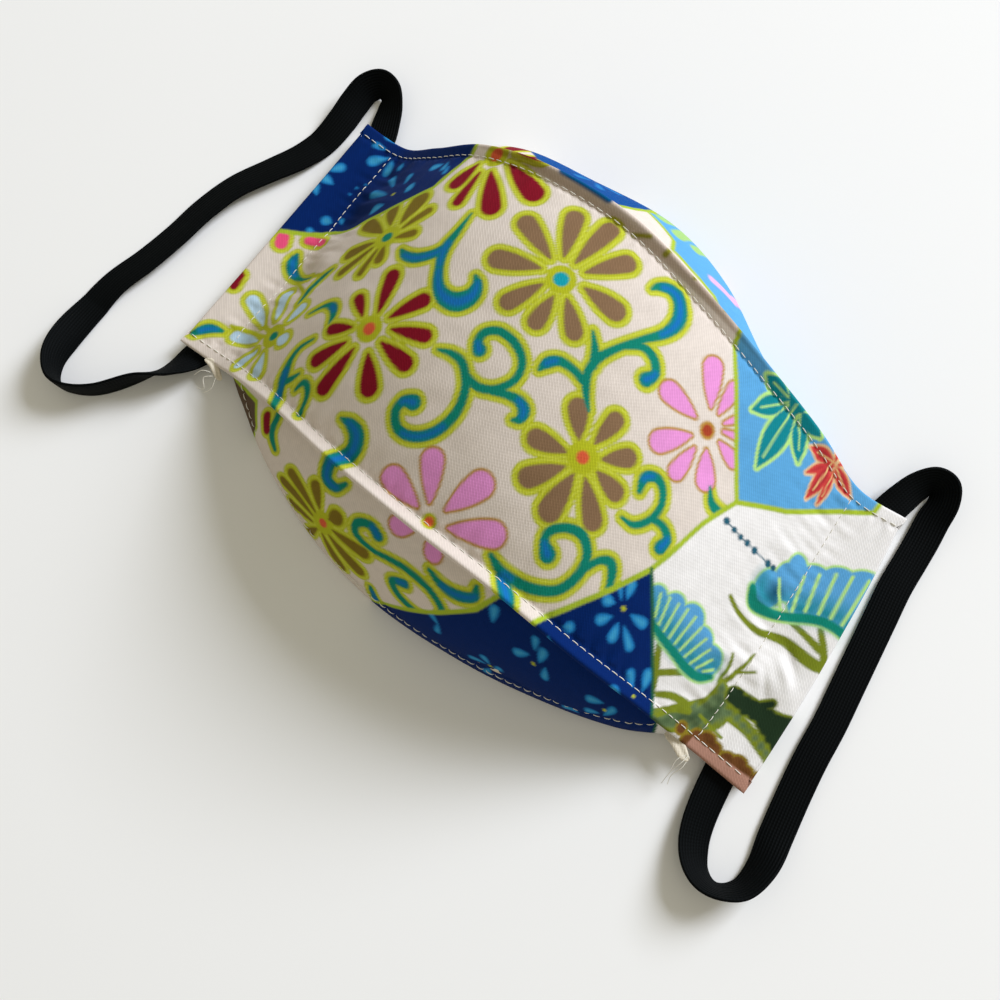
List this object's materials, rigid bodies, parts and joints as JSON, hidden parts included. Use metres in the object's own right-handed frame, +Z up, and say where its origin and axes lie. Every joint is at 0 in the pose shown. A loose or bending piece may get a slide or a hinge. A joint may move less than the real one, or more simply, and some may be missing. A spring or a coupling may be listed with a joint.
{
  "type": "cloth face mask",
  "caption": "Two-layer cotton face mask with stitched nose and chin folds, hemmed tabs and two flat elastic ear loops, lying hollow side down.",
  "frame": {"origin": "middle of the cloth's footprint, on the table it lies on", "axes": "+X along the mask from the left tab to the right tab, +Y from the chin to the nose, +Z up through the dome"},
  "size_m": [0.2666, 0.1542, 0.0534],
  "materials": {
    "printed_cotton": "matt cotton poplin with a patchwork print",
    "hem_cotton": "matt cotton poplin, wrong side",
    "plain_cotton": "matt plain weave",
    "black_elastic": "matt ribbed braid"
  },
  "bodies": {
    "root": {"outer_cloth": "printed_cotton", "lining": "plain_cotton", "casing_left": "hem_cotton", "casing_right": "hem_cotton", "lining_corner_left": "plain_cotton", "lining_corner_right": "plain_cotton", "ear_loop_left": "black_elastic", "ear_loop_right": "black_elastic"}
  },
  "joints": []
}
